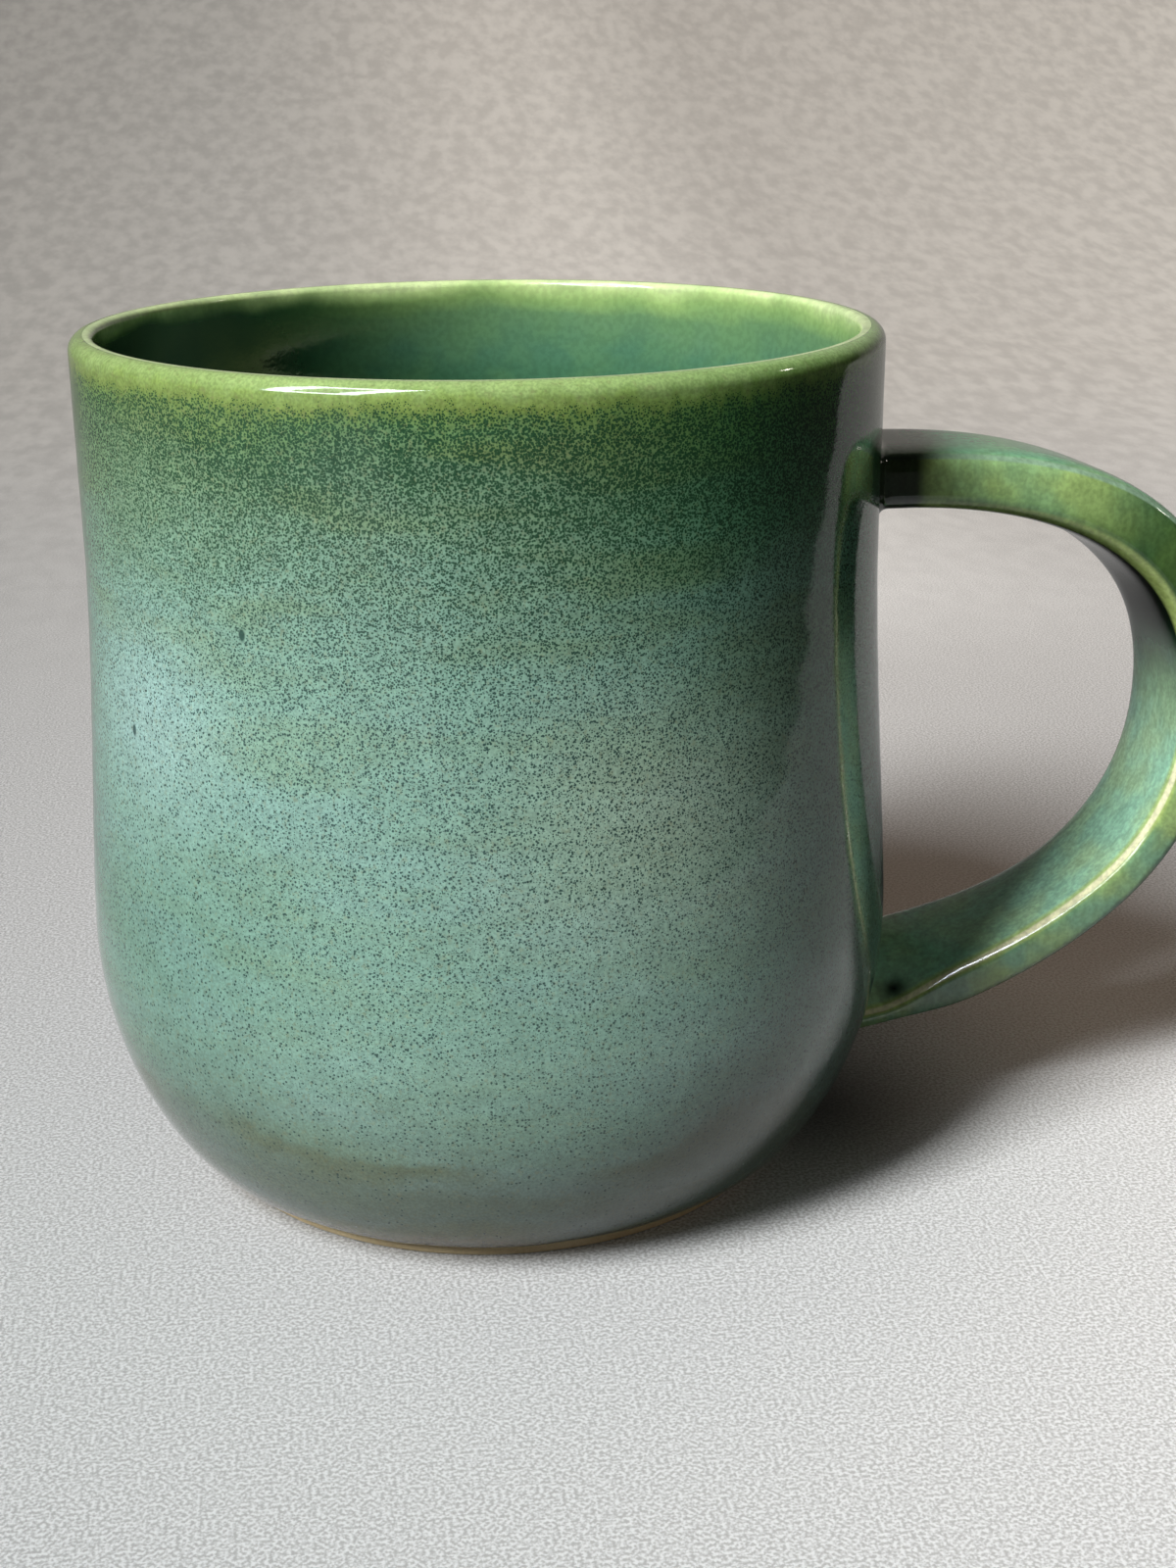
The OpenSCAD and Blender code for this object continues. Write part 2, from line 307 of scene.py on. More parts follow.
def glazeOnWall():
    # glossy stoneware glaze, dipped: yellow-green where it is thin over the lip, dark just under it,
    # then milky teal broken by fine specks, and smooth and greyer on the curve down to the foot
    material, tree, place = newMaterial("running_stoneware_glaze")
    up = add(tree, "ShaderNodeSeparateXYZ", inputs={0: place}).outputs[2]
    slow = clouded(tree, place, 26, 0.3, 0.7, stretch=(1, 1, 0.45))
    ragged = clouded(tree, place, 1.3, 0.25, 0.75, stretch=(1, 1, 1.8))
    belowLip = add(tree, "ShaderNodeMapRange", soft, {0: up, 1: 86.0, 2: 91.5, 3: 1.0, 4: 0.12})
    drift = add(tree, "ShaderNodeMath", timesPlus, {0: slow, 1: 5.0, 2: -2.5})
    drift = add(tree, "ShaderNodeMath", times, {0: drift.outputs[0], 1: belowLip.outputs[0]})
    jag = add(tree, "ShaderNodeMath", timesPlus, {0: ragged, 1: 0.9, 2: -0.45})
    level = add(tree, "ShaderNodeMath", plus, {0: up, 1: drift.outputs[0]})
    level = add(tree, "ShaderNodeMath", plus, {0: level.outputs[0], 1: jag.outputs[0]})
    share = add(tree, "ShaderNodeMath", {"operation": "DIVIDE"}, {0: level.outputs[0], 1: glazeTop})
    ramp = add(tree, "ShaderNodeValToRGB", inputs={0: share.outputs[0]},
               stops=rampStops([(z, withShare(c, s)) for z, c, s in wallByHeight], 0, glazeTop))
    colour, cover = ramp.outputs[0], ramp.outputs[1]

    # the dip left the glaze thick and dark towards the handle, darkened further by painted shade on that side,
    # thin and olive away from it
    right = add(tree, "ShaderNodeVectorMath", dotProduct, {0: place, 1: acrossCup})
    thick = add(tree, "ShaderNodeMapRange", soft, {0: right.outputs["Value"], 1: 0.08, 2: 0.72})
    thin = add(tree, "ShaderNodeMapRange", soft, {0: right.outputs["Value"], 1: -0.2, 2: -0.85})
    deepBand = add(tree, "ShaderNodeValToRGB", inputs={0: share.outputs[0]}, stops=rampStops(
        [(54, 0), (66, 0.25), (76, 0.62), (82, 0.95), (90.5, 0.95), (92.2, 0.5), (93.2, 0.25)], 0, glazeTop))
    deep = add(tree, "ShaderNodeMath", times, {0: thick.outputs[0], 1: deepBand.outputs[0]})
    olives = clouded(tree, place, 17, 0.42, 0.68, stretch=(1.3, 1.3, 0.28), shift=(3, 7, 1))
    blues = clouded(tree, place, 15, 0.45, 0.7, stretch=(1.2, 1.2, 0.4), shift=(11, 2, 5))
    oliveBand = add(tree, "ShaderNodeValToRGB", inputs={0: share.outputs[0]}, stops=rampStops(
        [(20, 0.25), (60, 0.35), (78, 0.75), (90, 0.9), (92.5, 0)], 0, glazeTop))
    olive = add(tree, "ShaderNodeMath", times, {0: olives, 1: oliveBand.outputs[0]})
    thinBand = add(tree, "ShaderNodeMapRange", soft, {0: level.outputs[0], 1: 70.0, 2: 86.0, 4: 0.55})
    thinOlive = add(tree, "ShaderNodeMath", times, {0: thin.outputs[0], 1: thinBand.outputs[0]})
    olive = add(tree, "ShaderNodeMath", larger, {0: olive.outputs[0], 1: thinOlive.outputs[0]})
    colour = add(tree, "ShaderNodeMix", blended,
                 {0: add(tree, "ShaderNodeMath", times, {0: olive.outputs[0], 1: 0.55}).outputs[0],
                  6: colour, 7: linear("#7f9354")}).outputs[2]
    blue = add(tree, "ShaderNodeMapRange", soft, {0: level.outputs[0], 1: 70.0, 2: 55.0, 4: 0.22})
    blue = add(tree, "ShaderNodeMath", times, {0: blues, 1: blue.outputs[0]})
    colour = add(tree, "ShaderNodeMix", blended,
                 {0: blue.outputs[0], 6: colour, 7: linear("#9cc4c8")}).outputs[2]
    for bloom in blooms:
        milky = nearPoint(tree, place, bloom["point"], bloom["size"], (1, 1, 0.85))
        milky = add(tree, "ShaderNodeMath", times, {0: milky, 1: bloom["strength"]})
        colour = add(tree, "ShaderNodeMix", blended,
                     {0: milky.outputs[0], 6: colour, 7: linear(bloom["colour"])}).outputs[2]

    # where the glaze ran down and stopped: a thin olive line above the smooth lower part
    runLine = add(tree, "ShaderNodeValToRGB", inputs={0: share.outputs[0]}, stops=rampStops(
        [(12.5, 0), (15.2, 1), (16.4, 0.8), (17.6, 0)], 0, glazeTop))
    runPart = clouded(tree, place, 30, 0.4, 0.55, detail=1.0, stretch=(1, 1, 3), shift=(20, 5, 0))
    run = add(tree, "ShaderNodeMath", times, {0: runLine.outputs[0], 1: runPart})
    run = add(tree, "ShaderNodeMath", times, {0: run.outputs[0], 1: 0.6})
    colour = add(tree, "ShaderNodeMix", blended,
                 {0: run.outputs[0], 6: colour, 7: linear("#6a7250")}).outputs[2]

    # specks: dark glass showing between milky grains, a little over 0.2 mm apart
    cover = add(tree, "ShaderNodeMath", timesPlus, {0: thin.outputs[0], 1: -0.1, 2: cover})
    radius = add(tree, "ShaderNodeFloatCurve", inputs={"Value": cover.outputs[0]})
    curve = radius.mapping.curves[0]
    for i, (x, y) in enumerate(speckRadius):
        point = curve.points[i] if i < 2 else curve.points.new(x, y)
        point.location = (x, y)
    radius.mapping.update()
    away, lot = scattered(tree, place, 0.23)
    own = add(tree, "ShaderNodeMath", timesPlus, {0: lot, 1: 0.5, 2: 0.7})
    own = add(tree, "ShaderNodeMath", times, {0: own.outputs[0], 1: radius.outputs[0]})
    over = add(tree, "ShaderNodeMath", {"operation": "SUBTRACT"}, {0: own.outputs[0], 1: away})
    dark = add(tree, "ShaderNodeMapRange", soft, {0: over.outputs[0], 1: -0.07, 2: 0.07})
    # round pinpricks about 0.25 mm across, most of them on the belly
    away, lot = scattered(tree, place, 0.42)
    dot = add(tree, "ShaderNodeMapRange", soft, {0: away, 1: 0.23, 2: 0.36, 3: 1.0, 4: 0.0})
    often = add(tree, "ShaderNodeValToRGB", inputs={0: share.outputs[0]}, stops=rampStops(
        [(4, 0.1), (13, 0.14), (20, 0.5), (40, 0.85), (66, 0.95), (80, 0.8), (88, 0.3), (91.5, 0)],
        0, glazeTop))
    here = add(tree, "ShaderNodeMath", {"operation": "LESS_THAN"}, {0: lot, 1: often.outputs[0]})
    dot = add(tree, "ShaderNodeMath", times, {0: dot.outputs[0], 1: here.outputs[0]})
    speck = add(tree, "ShaderNodeMath", larger, {0: dot.outputs[0], 1: dark.outputs[0]})
    # three pits, dark to the bottom
    for point, size in (((-26.1, -34.2, 69.6), 0.5), ((-37.7, -21.8, 56.9), 0.5), ((-38.9, -19.8, 59.0), 0.4)):
        pit = nearPoint(tree, place, point, size, (1, 1, 1.7))
        pit = add(tree, "ShaderNodeMath", {"operation": "MULTIPLY", "use_clamp": True}, {0: pit, 1: 2.4})
        speck = add(tree, "ShaderNodeMath", larger, {0: speck.outputs[0], 1: pit.outputs[0]})
    # between the specks the glaze is grainy too, with tan crystals
    crystals = clouded(tree, place, 0.5, 0.56, 0.74, detail=1.0, shift=(5, 2, 9))
    colour = add(tree, "ShaderNodeMix", blended,
                 {0: add(tree, "ShaderNodeMath", times, {0: crystals, 1: 0.3}).outputs[0],
                  6: colour, 7: linear("#8c8a62")}).outputs[2]
    between = add(tree, "ShaderNodeMapRange", soft, {0: level.outputs[0], 1: 60.0, 2: 84.0})
    darkColour = add(tree, "ShaderNodeMix", blended,
                     {0: between.outputs[0], 6: linear("#1e4342"), 7: linear("#1d4a31")})
    colour = add(tree, "ShaderNodeMix", blended,
                 {0: add(tree, "ShaderNodeMath", times, {0: speck.outputs[0], 1: 0.9}).outputs[0],
                  6: colour, 7: darkColour.outputs[2]}).outputs[2]
    # painted shade in part: the side towards the handle is darkened here, over the thick dark glaze
    colour = add(tree, "ShaderNodeMix", multiplied,
                 {0: deep.outputs[0], 6: colour, 7: linear("#9bd7bc")}).outputs[2]
    # painted shade: a little darker and greyer low down on the thin side
    low = add(tree, "ShaderNodeMapRange", soft, {0: level.outputs[0], 1: 60.0, 2: 35.0})
    low = add(tree, "ShaderNodeMath", times, {0: low.outputs[0], 1: thin.outputs[0]})
    colour = add(tree, "ShaderNodeMix", multiplied,
                 {0: low.outputs[0], 6: colour, 7: linear("#d8e0dc")}).outputs[2]
    shade = clouded(tree, place, 2.6, 0.3, 0.7, stretch=(1, 1, 0.7))
    shade = add(tree, "ShaderNodeMapRange", inputs={0: shade, 3: 0.93, 4: 1.05})
    grain = clouded(tree, place, 0.3, 0.3, 0.7, detail=1.0)
    grain = add(tree, "ShaderNodeMapRange", inputs={0: grain, 3: 0.84, 4: 1.14})
    shade = add(tree, "ShaderNodeMath", times, {0: shade.outputs[0], 1: grain.outputs[0]})
    colour = add(tree, "ShaderNodeVectorMath", scaled, {0: colour, "Scale": shade.outputs[0]})
    finishGlaze(tree, colour.outputs[0], 0.07, place)
    return material


linerTop = 97.0  # the height at which the liner's ramp ends
# the liner's colour by height; the palest stops at the lip are partly a painted highlight, and the darkest
# ones down the wall partly painted shade in the cup's hollow
linerByHeight = [
    (8, "#3f7a5c"), (13, "#24603f"), (30, "#17472d"), (68, "#26533f"), (81, "#3c6c4e"), (86, "#507f65"),
    (90.5, "#6a946b"), (92.4, "#9ac078"), (93.5, "#c6e69a"), (94.2, "#e2f8ba"),
]


def glazeInside():
    # the same glaze poured inside and out again: yellow-green at the lip, in part a painted highlight, deeper
    # green down the wall, in part painted shade, and milky where it pooled on the floor; painted shade darkens
    # the side away from the handle
    material, tree, place = newMaterial("poured_liner_glaze")
    parts = add(tree, "ShaderNodeSeparateXYZ", inputs={0: place})
    drift = clouded(tree, place, 14, 0.25, 0.75, stretch=(1, 1, 0.6))
    level = add(tree, "ShaderNodeMath", timesPlus, {0: drift, 1: 1.5, 2: parts.outputs[2]})
    share = add(tree, "ShaderNodeMath", {"operation": "DIVIDE"}, {0: level.outputs[0], 1: linerTop})
    ramp = add(tree, "ShaderNodeValToRGB", inputs={0: share.outputs[0]},
               stops=rampStops([(z, linear(c)) for z, c in linerByHeight], 0, linerTop))
    mottle = clouded(tree, place, 5, 0.35, 0.65, stretch=(1, 1, 0.8))
    colour = add(tree, "ShaderNodeMix", blended,
                 {0: add(tree, "ShaderNodeMath", times, {0: mottle, 1: 0.25}).outputs[0],
                  6: ramp.outputs[0], 7: linear("#6a9660")})
    # painted shade: darker away from the handle, up to the lip, where the inside lies in the cup's own shadow
    left = add(tree, "ShaderNodeVectorMath", dotProduct, {0: place, 1: -acrossCup})
    thick = add(tree, "ShaderNodeMapRange", soft, {0: left.outputs["Value"], 1: -0.25, 2: 0.7})
    below = add(tree, "ShaderNodeMapRange", soft, {0: level.outputs[0], 1: 94.0, 2: 92.0})
    thick = add(tree, "ShaderNodeMath", times, {0: thick.outputs[0], 1: below.outputs[0]})
    colour = add(tree, "ShaderNodeMix", multiplied,
                 {0: thick.outputs[0], 6: colour.outputs[2], 7: linear("#0c4c34")})
    grain = clouded(tree, place, 0.7, 0.35, 0.65)
    shade = add(tree, "ShaderNodeMapRange", inputs={0: grain, 3: 0.92, 4: 1.06})
    colour = add(tree, "ShaderNodeVectorMath", scaled, {0: colour.outputs[2], "Scale": shade.outputs[0]})
    finishGlaze(tree, colour.outputs[0], 0.08, place)
    return material


def glazeOnStrap():
    # brushed and dipped glaze on the strap: it breaks to pale yellow along the edges, with a painted highlight
    # on the near inner edge, stays green beside them and goes milky teal in the middle of each face
    material, tree, place = newMaterial("strap_glaze")
    along = add(tree, "ShaderNodeAttribute", {"attribute_name": "strap"})
    parts = add(tree, "ShaderNodeSeparateXYZ", inputs={0: along.outputs["Vector"]})
    side, out, s = parts.outputs
    # 1 on the face away from the cup, on the face towards it, and on the strap's lower half
    outer = add(tree, "ShaderNodeMapRange", soft, {0: out, 1: 0.45, 2: 0.85})
    inner = add(tree, "ShaderNodeMapRange", soft, {0: out, 1: -0.45, 2: -0.85})
    lower = add(tree, "ShaderNodeMapRange", soft, {0: s, 1: 0.75, 2: 1.15})
    mottle = clouded(tree, place, 7, 0.35, 0.65, stretch=(1, 1, 1))
    streak = clouded(tree, place, 1.5, 0.3, 0.7, detail=3.0, stretch=(0.7, 0.7, 1.6))
    # upper half
    nearTop = add(tree, "ShaderNodeMix", blended,
                  {0: mottle, 6: linear("#9ac68c"), 7: linear("#b0d284")})
    topFace = add(tree, "ShaderNodeMix", blended,
                  {0: mottle, 6: linear("#78b690"), 7: linear("#84bc8e")})
    upper = add(tree, "ShaderNodeMix", blended,
                {0: outer.outputs[0], 6: nearTop.outputs[2], 7: topFace.outputs[2]})
    # lower half
    nearLow = add(tree, "ShaderNodeMix", blended,
                  {0: mottle, 6: linear("#7fb08f"), 7: linear("#a0c07a")})
    lowFaces = add(tree, "ShaderNodeMix", blended,
                   {0: outer.outputs[0], 6: nearLow.outputs[2], 7: topFace.outputs[2]})
    lowest = add(tree, "ShaderNodeMix", blended,
                 {0: lower.outputs[0], 6: upper.outputs[2], 7: lowFaces.outputs[2]})
    innerTone = add(tree, "ShaderNodeMix", blended,
                    {0: mottle, 6: linear("#9cd2b8"), 7: linear("#a8d0a8")})
    whole = add(tree, "ShaderNodeMix", blended,
                {0: inner.outputs[0], 6: lowest.outputs[2], 7: innerTone.outputs[2]})
    # darker green low on the near side of the upper half
    lowNear = add(tree, "ShaderNodeMapRange", soft, {0: out, 1: 0.1, 2: -0.6})
    upperOnly = add(tree, "ShaderNodeMath", {"operation": "SUBTRACT"}, {0: 1.0, 1: lower.outputs[0]})
    darkShare = add(tree, "ShaderNodeMath", times, {0: lowNear.outputs[0], 1: upperOnly.outputs[0]})
    whole = add(tree, "ShaderNodeMix", multiplied,
                {0: darkShare.outputs[0], 6: whole.outputs[2], 7: linear("#9fbfa8")})
    # painted shade: the shoulder's inner face is darkened, as it is in the strap's own shade
    shoulder = add(tree, "ShaderNodeMapRange", soft, {0: s, 1: 1.02, 2: 0.8})
    shoulder = add(tree, "ShaderNodeMath", times, {0: shoulder.outputs[0], 1: inner.outputs[0]})
    whole = add(tree, "ShaderNodeMix", multiplied,
                {0: shoulder.outputs[0], 6: whole.outputs[2], 7: linear("#3c4c44")})
    # painted shade: the near side at the bend is darker
    bend = add(tree, "ShaderNodeMapRange", soft, {0: s, 1: 0.3, 2: 0.62})
    bend = add(tree, "ShaderNodeMath", times, {0: bend.outputs[0], 1: upperOnly.outputs[0]})
    bend = add(tree, "ShaderNodeMath", minusClamped, {0: bend.outputs[0], 1: outer.outputs[0]})
    whole = add(tree, "ShaderNodeMix", multiplied,
                {0: bend.outputs[0], 6: whole.outputs[2], 7: linear("#788a7a")})
    # 1 along the two edges of the near side, where the glaze broke; the near inner edge also carries a painted
    # highlight
    fold = add(tree, "ShaderNodeMath", {"operation": "ABSOLUTE"}, {0: out})
    fold = add(tree, "ShaderNodeMath", times, {0: fold.outputs[0], 1: 0.588})
    corner = add(tree, "ShaderNodeMath", timesPlus, {0: side, 1: -0.809, 2: fold.outputs[0]})
    line = add(tree, "ShaderNodeMapRange", soft, {0: corner.outputs[0], 1: 0.982, 2: 0.998})
    beside = add(tree, "ShaderNodeMapRange", soft, {0: corner.outputs[0], 1: 0.93, 2: 0.99, 4: 0.8})
    innerEdge = add(tree, "ShaderNodeMapRange", soft, {0: out, 1: 0.3, 2: -0.3})
    nearSide = add(tree, "ShaderNodeMapRange", soft, {0: side, 1: 0.2, 2: -0.4, 3: 0.25, 4: 1.0})
    beside = add(tree, "ShaderNodeMath", times, {0: beside.outputs[0], 1: nearSide.outputs[0]})
    beside = add(tree, "ShaderNodeMath", times, {0: beside.outputs[0], 1: innerEdge.outputs[0]})
    colour = add(tree, "ShaderNodeMix", blended,
                 {0: beside.outputs[0], 6: whole.outputs[2], 7: linear("#b9d07c")})
    # blue-green on the outer edge, near white on the inner one, where glaze breaking thin and a painted
    # highlight meet
    edgeColourAndHighlight = add(tree, "ShaderNodeMix", blended,
                     {0: innerEdge.outputs[0], 6: linear("#9cc0a4"), 7: linear("#fbfad6")})
    edgeShare = add(tree, "ShaderNodeMapRange", soft, {0: side, 1: 0.2, 2: -0.4, 3: 0.3, 4: 0.92})
    edgeShare = add(tree, "ShaderNodeMath", times, {0: line.outputs[0], 1: edgeShare.outputs[0]})
    shown = add(tree, "ShaderNodeMapRange", soft, {0: s, 1: 0.95, 2: 0.75})
    shown = add(tree, "ShaderNodeMath", times, {0: shown.outputs[0], 1: innerEdge.outputs[0]})
    edgeShare = add(tree, "ShaderNodeMath", minusClamped,
                    {0: edgeShare.outputs[0], 1: shown.outputs[0]})
    colour = add(tree, "ShaderNodeMix", blended,
                 {0: edgeShare.outputs[0], 6: colour.outputs[2], 7: edgeColourAndHighlight.outputs[2]})
    # painted shadow: dark in the corners where the strap meets the wall, where the cup's wall shades the strap
    rootShadow = add(tree, "ShaderNodeMapRange", soft, {0: s, 1: 0.062, 2: 0.018})
    facing = add(tree, "ShaderNodeMapRange", soft, {0: out, 1: 0.55, 2: 0.85, 3: 0.95, 4: 0.5})
    rootShadow = add(tree, "ShaderNodeMath", times, {0: rootShadow.outputs[0], 1: facing.outputs[0]})
    lowRootShadow = nearPoint(tree, place, (47.2, -5.4, 15.0), 2.9, (1, 0.8, 0.8))
    rootShadow = add(tree, "ShaderNodeMath", larger, {0: rootShadow.outputs[0], 1: lowRootShadow})
    colour = add(tree, "ShaderNodeMix", blended,
                 {0: rootShadow.outputs[0], 6: colour.outputs[2], 7: linear("#12231a")})
    shade = add(tree, "ShaderNodeMapRange", inputs={0: streak, 3: 0.84, 4: 1.1})
    grain = clouded(tree, place, 0.5, 0.35, 0.65, detail=1.0)
    grain = add(tree, "ShaderNodeMapRange", inputs={0: grain, 3: 0.88, 4: 1.06})
    shade = add(tree, "ShaderNodeMath", times, {0: shade.outputs[0], 1: grain.outputs[0]})
    colour = add(tree, "ShaderNodeVectorMath", scaled, {0: colour.outputs[2], "Scale": shade.outputs[0]})
    finishGlaze(tree, colour.outputs[0], 0.09, place)
    return material


def firedClay(name, light, dark):
    # fired stoneware clay, wiped bare: matt and slightly sandy, with grains under 0.5 mm
    material, tree, place = newMaterial(name)
    sand = clouded(tree, place, 0.45, 0.35, 0.65)
    patch = clouded(tree, place, 9, 0.3, 0.7)
    tone = add(tree, "ShaderNodeMath", timesPlus, {0: patch, 1: 0.6, 2: 0.0})
    tone = add(tree, "ShaderNodeMath", timesPlus, {0: sand, 1: 0.4, 2: tone.outputs[0]})
    colour = add(tree, "ShaderNodeMix", blended, {0: tone.outputs[0], 6: linear(dark), 7: linear(light)})
    bump = add(tree, "ShaderNodeBump", inputs={"Height": sand, "Strength": 1.0, "Distance": 0.03 * mm})
    shader = add(tree, "ShaderNodeBsdfPrincipled", inputs={
        "Base Color": colour.outputs[2], "Roughness": 0.72, "IOR": 1.5, "Normal": bump.outputs[0]})
    add(tree, "ShaderNodeOutputMaterial", inputs={"Surface": shader.outputs[0]})
    return material


clayMaterial = firedClay("buff_stoneware_clay", "#efdcb2", "#dcc79a")
slipMaterial = firedClay("joining_slip", "#ad9a76", "#93805e")
wallMaterial = glazeOnWall()
linerMaterial = glazeInside()
handleMaterial = glazeOnStrap()

# --- clay body
ringCorner = cup["cornerRadius"]
hollowCorner = cup["hollowCorner"]
footLine = joinLines(
    [pointAt(r, cup["recess"]) for r in (0, 8, 16, 24)],
    arc(pointAt(cup["ringInside"] - hollowCorner, cup["recess"] - hollowCorner), hollowCorner, 90, 0, 6),
    arc(pointAt(cup["ringInside"] + ringCorner, ringCorner), ringCorner, 180, 270, 8),
    arc(pointAt(cup["footRadius"] - ringCorner, ringCorner), ringCorner, 270, 360, 8),
)
clayLine = joinLines(footLine, outsideLine[::3], [outsideLine[-1]], insideLine[::3], [insideLine[-1]])
clayBody = turned("clay_body", clayLine, False, clayMaterial)
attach(clayBody, "root")
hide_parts("body")
print("clay body turned")


def wanderingEdge(p):
    # the glaze's lower edge rises and falls a little round the foot
    near = 1 - ease((p.z - cup["bandHeight"]) / 4)
    angle = math.atan2(p.y, p.x)
    wander = noise.noise(Vector((math.cos(angle), math.sin(angle), 0.3)) * 3.1)
    fine = noise.noise(Vector((math.cos(angle), math.sin(angle), 4.3)) * 11)
    lift = cup["glazeEdgeWave"] * near * (0.3 + wander + 0.35 * fine)
    return p + Vector((p.x, p.y, 0)).normalized() * lift * 0.6 + Vector((0, 0, lift))


# --- outer glaze, from just above the bare band over to the top of the lip
glazeOut = coated(outsideLine, cup["glaze"])
glazeNose = [outsideLine[0].lerp(glazeOut[0], t) + pointAt(d, d * 0.5)
             for t, d in ((0, 0), (0.35, 0.02), (0.7, 0.09))]
outerLine = joinLines(glazeNose, glazeOut[1:], list(reversed(outsideLine))[::3])
outerGlaze = turned("outer_glaze_coat", outerLine, True, wallMaterial, wanderingEdge)
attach(outerGlaze, "root")
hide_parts("outer_glaze")

# --- liner glaze, from the top of the lip down to the middle of the floor
glazeIn = coated(insideLine, cup["glaze"])
glazeIn[-1] = pointAt(0, glazeIn[-1].z)
linerLine = joinLines(list(reversed(glazeIn)), insideLine[::3], [insideLine[-1]])
linerGlaze = turned("liner_glaze_coat", linerLine, False, linerMaterial)
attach(linerGlaze, "root")
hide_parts("liner_glaze")
print("glaze coats turned")

# --- the strap handle. s runs from 0 at its upper end over its furthest place at 1 to its lower end at 2.
strap = {
    "upperHeight": 76.5,
    "lowerHeight": 14.3,
    "reach": 81.79,          # from the axis to the middle of the strap, at its furthest
    "reachHeight": 49.8,
    "lead": 2.5,             # the first full section's distance from the wall
    "upperFill": 0.45, "shoulderFill": 0.82, "heelFill": 0.76, "lowerFill": 0.28,
    "lowerSlope": 14,
    "upperWidth": 16.6, "lowerWidth": 14.6,
    "upperThick": 6.2, "shoulderThick": 7.2, "thinThick": 4.5, "lowerThick": 5.4,
    "shoulderAt": 0.6, "thinAt": 1.2, "leanAt": 0.7, "askewAt": 1.4,
    "lean": 3.6, "askew": 16,
    "square": 4.5,
    "pinch": 0.62, "pinchAt": 1.74, "pinchDrop": 0.3,  # the near edge of the lower end is squeezed thin
    "stations": 110,
    "sides": 72,
    "fillet": 1.3,           # radius of the glaze in the corner against the wall
    "lowerFillet": 0.5,
    "filletRings": 9,
    "clayRings": 4,
    "rootShare": 0.1,        # how much of s each root takes up
    "bite": 0.08,            # how far a root reaches into the wall
}


def wallRadius(height, line):
    # radius of the cup's outside, read off its line
    for low, high in zip(line, line[1:]):
        if low.z <= height <= high.z:
            return mix(low.x, high.x, (height - low.z) / max(high.z - low.z, 1e-9))
    return line[0].x


upperStart = pointAt(wallRadius(strap["upperHeight"], outsideLine) + strap["lead"], strap["upperHeight"])
lowerEnd = pointAt(wallRadius(strap["lowerHeight"], outsideLine) + strap["lead"], strap["lowerHeight"])
furthest = pointAt(strap["reach"], strap["reachHeight"])
slope = math.radians(strap["lowerSlope"])
lowerLead = strap["lowerFill"] * (strap["reach"] - lowerEnd.x)
upperHalf = (upperStart,
             pointAt(mix(upperStart.x, strap["reach"], strap["upperFill"]), strap["upperHeight"]),
             pointAt(strap["reach"], mix(strap["reachHeight"], strap["upperHeight"], strap["shoulderFill"])),
             furthest)
lowerHalf = (furthest,
             pointAt(strap["reach"], mix(strap["reachHeight"], strap["lowerHeight"], strap["heelFill"])),
             lowerEnd + lowerLead * pointAt(math.cos(slope), math.sin(slope)),
             lowerEnd)
pathSteps = 400
halfPoints = [interpolate_bezier(*curve, pathSteps + 1) for curve in (upperHalf, lowerHalf)]
strapPath = halfPoints[0] + halfPoints[1][1:]


def pathAt(s):
    steps = min(max(s, 0), 2) * pathSteps
    low = min(int(steps), 2 * pathSteps - 1)
    here = strapPath[low].lerp(strapPath[low + 1], steps - low)
    ahead = strapPath[min(low + 2, 2 * pathSteps)] - strapPath[max(low - 1, 0)]
    return here, ahead.normalized()


def passed(s, start, end=2):
    # 0 up to start, 1 from end on
    return ease((s - start) / (end - start))


def thicknessAt(s):
    if s < strap["shoulderAt"]:
        return mix(strap["upperThick"], strap["shoulderThick"], passed(s, 0, strap["shoulderAt"]))
    if s < strap["thinAt"]:
        return mix(strap["shoulderThick"], strap["thinThick"], passed(s, strap["shoulderAt"], strap["thinAt"]))
    return mix(strap["thinThick"], strap["lowerThick"], passed(s, strap["thinAt"]))


def twistAt(s):
    # the strap leans one way at the shoulder and the other way down to its lower end
    if s < strap["leanAt"]:
        lean = passed(s, 0, strap["leanAt"])
    else:
        lean = 1 - passed(s, strap["leanAt"], strap["askewAt"])
    return -math.radians(strap["lean"] * lean + strap["askew"] * passed(s, strap["askewAt"]))


def squared(v):
    return math.copysign(abs(v) ** (2 / strap["square"]), v)


def sectionAt(s, grow, sides):
    # the strap's section at s, one point for each side
    centre, ahead = pathAt(s)
    outward = Vector((-ahead.z, 0, ahead.x))
    width = mix(strap["upperWidth"], strap["lowerWidth"], passed(s, strap["thinAt"])) / 2 + grow
    thick = thicknessAt(s) / 2 + grow
    twist = twistAt(s)
    pinch = strap["pinch"] * passed(s, strap["pinchAt"])
    points = []
    for i in range(sides):
        a = 2 * math.pi * i / sides
        across, proud = width * squared(math.cos(a)), thick * squared(math.sin(a))
        near = pinch * ease(-across / width)
        proud = mix(proud, strap["pinchDrop"], near)
        sideways = across * math.cos(twist) - proud * math.sin(twist)
        out = across * math.sin(twist) + proud * math.cos(twist)
        points.append(centre + outward * out + Vector((0, sideways, 0)))
    return points


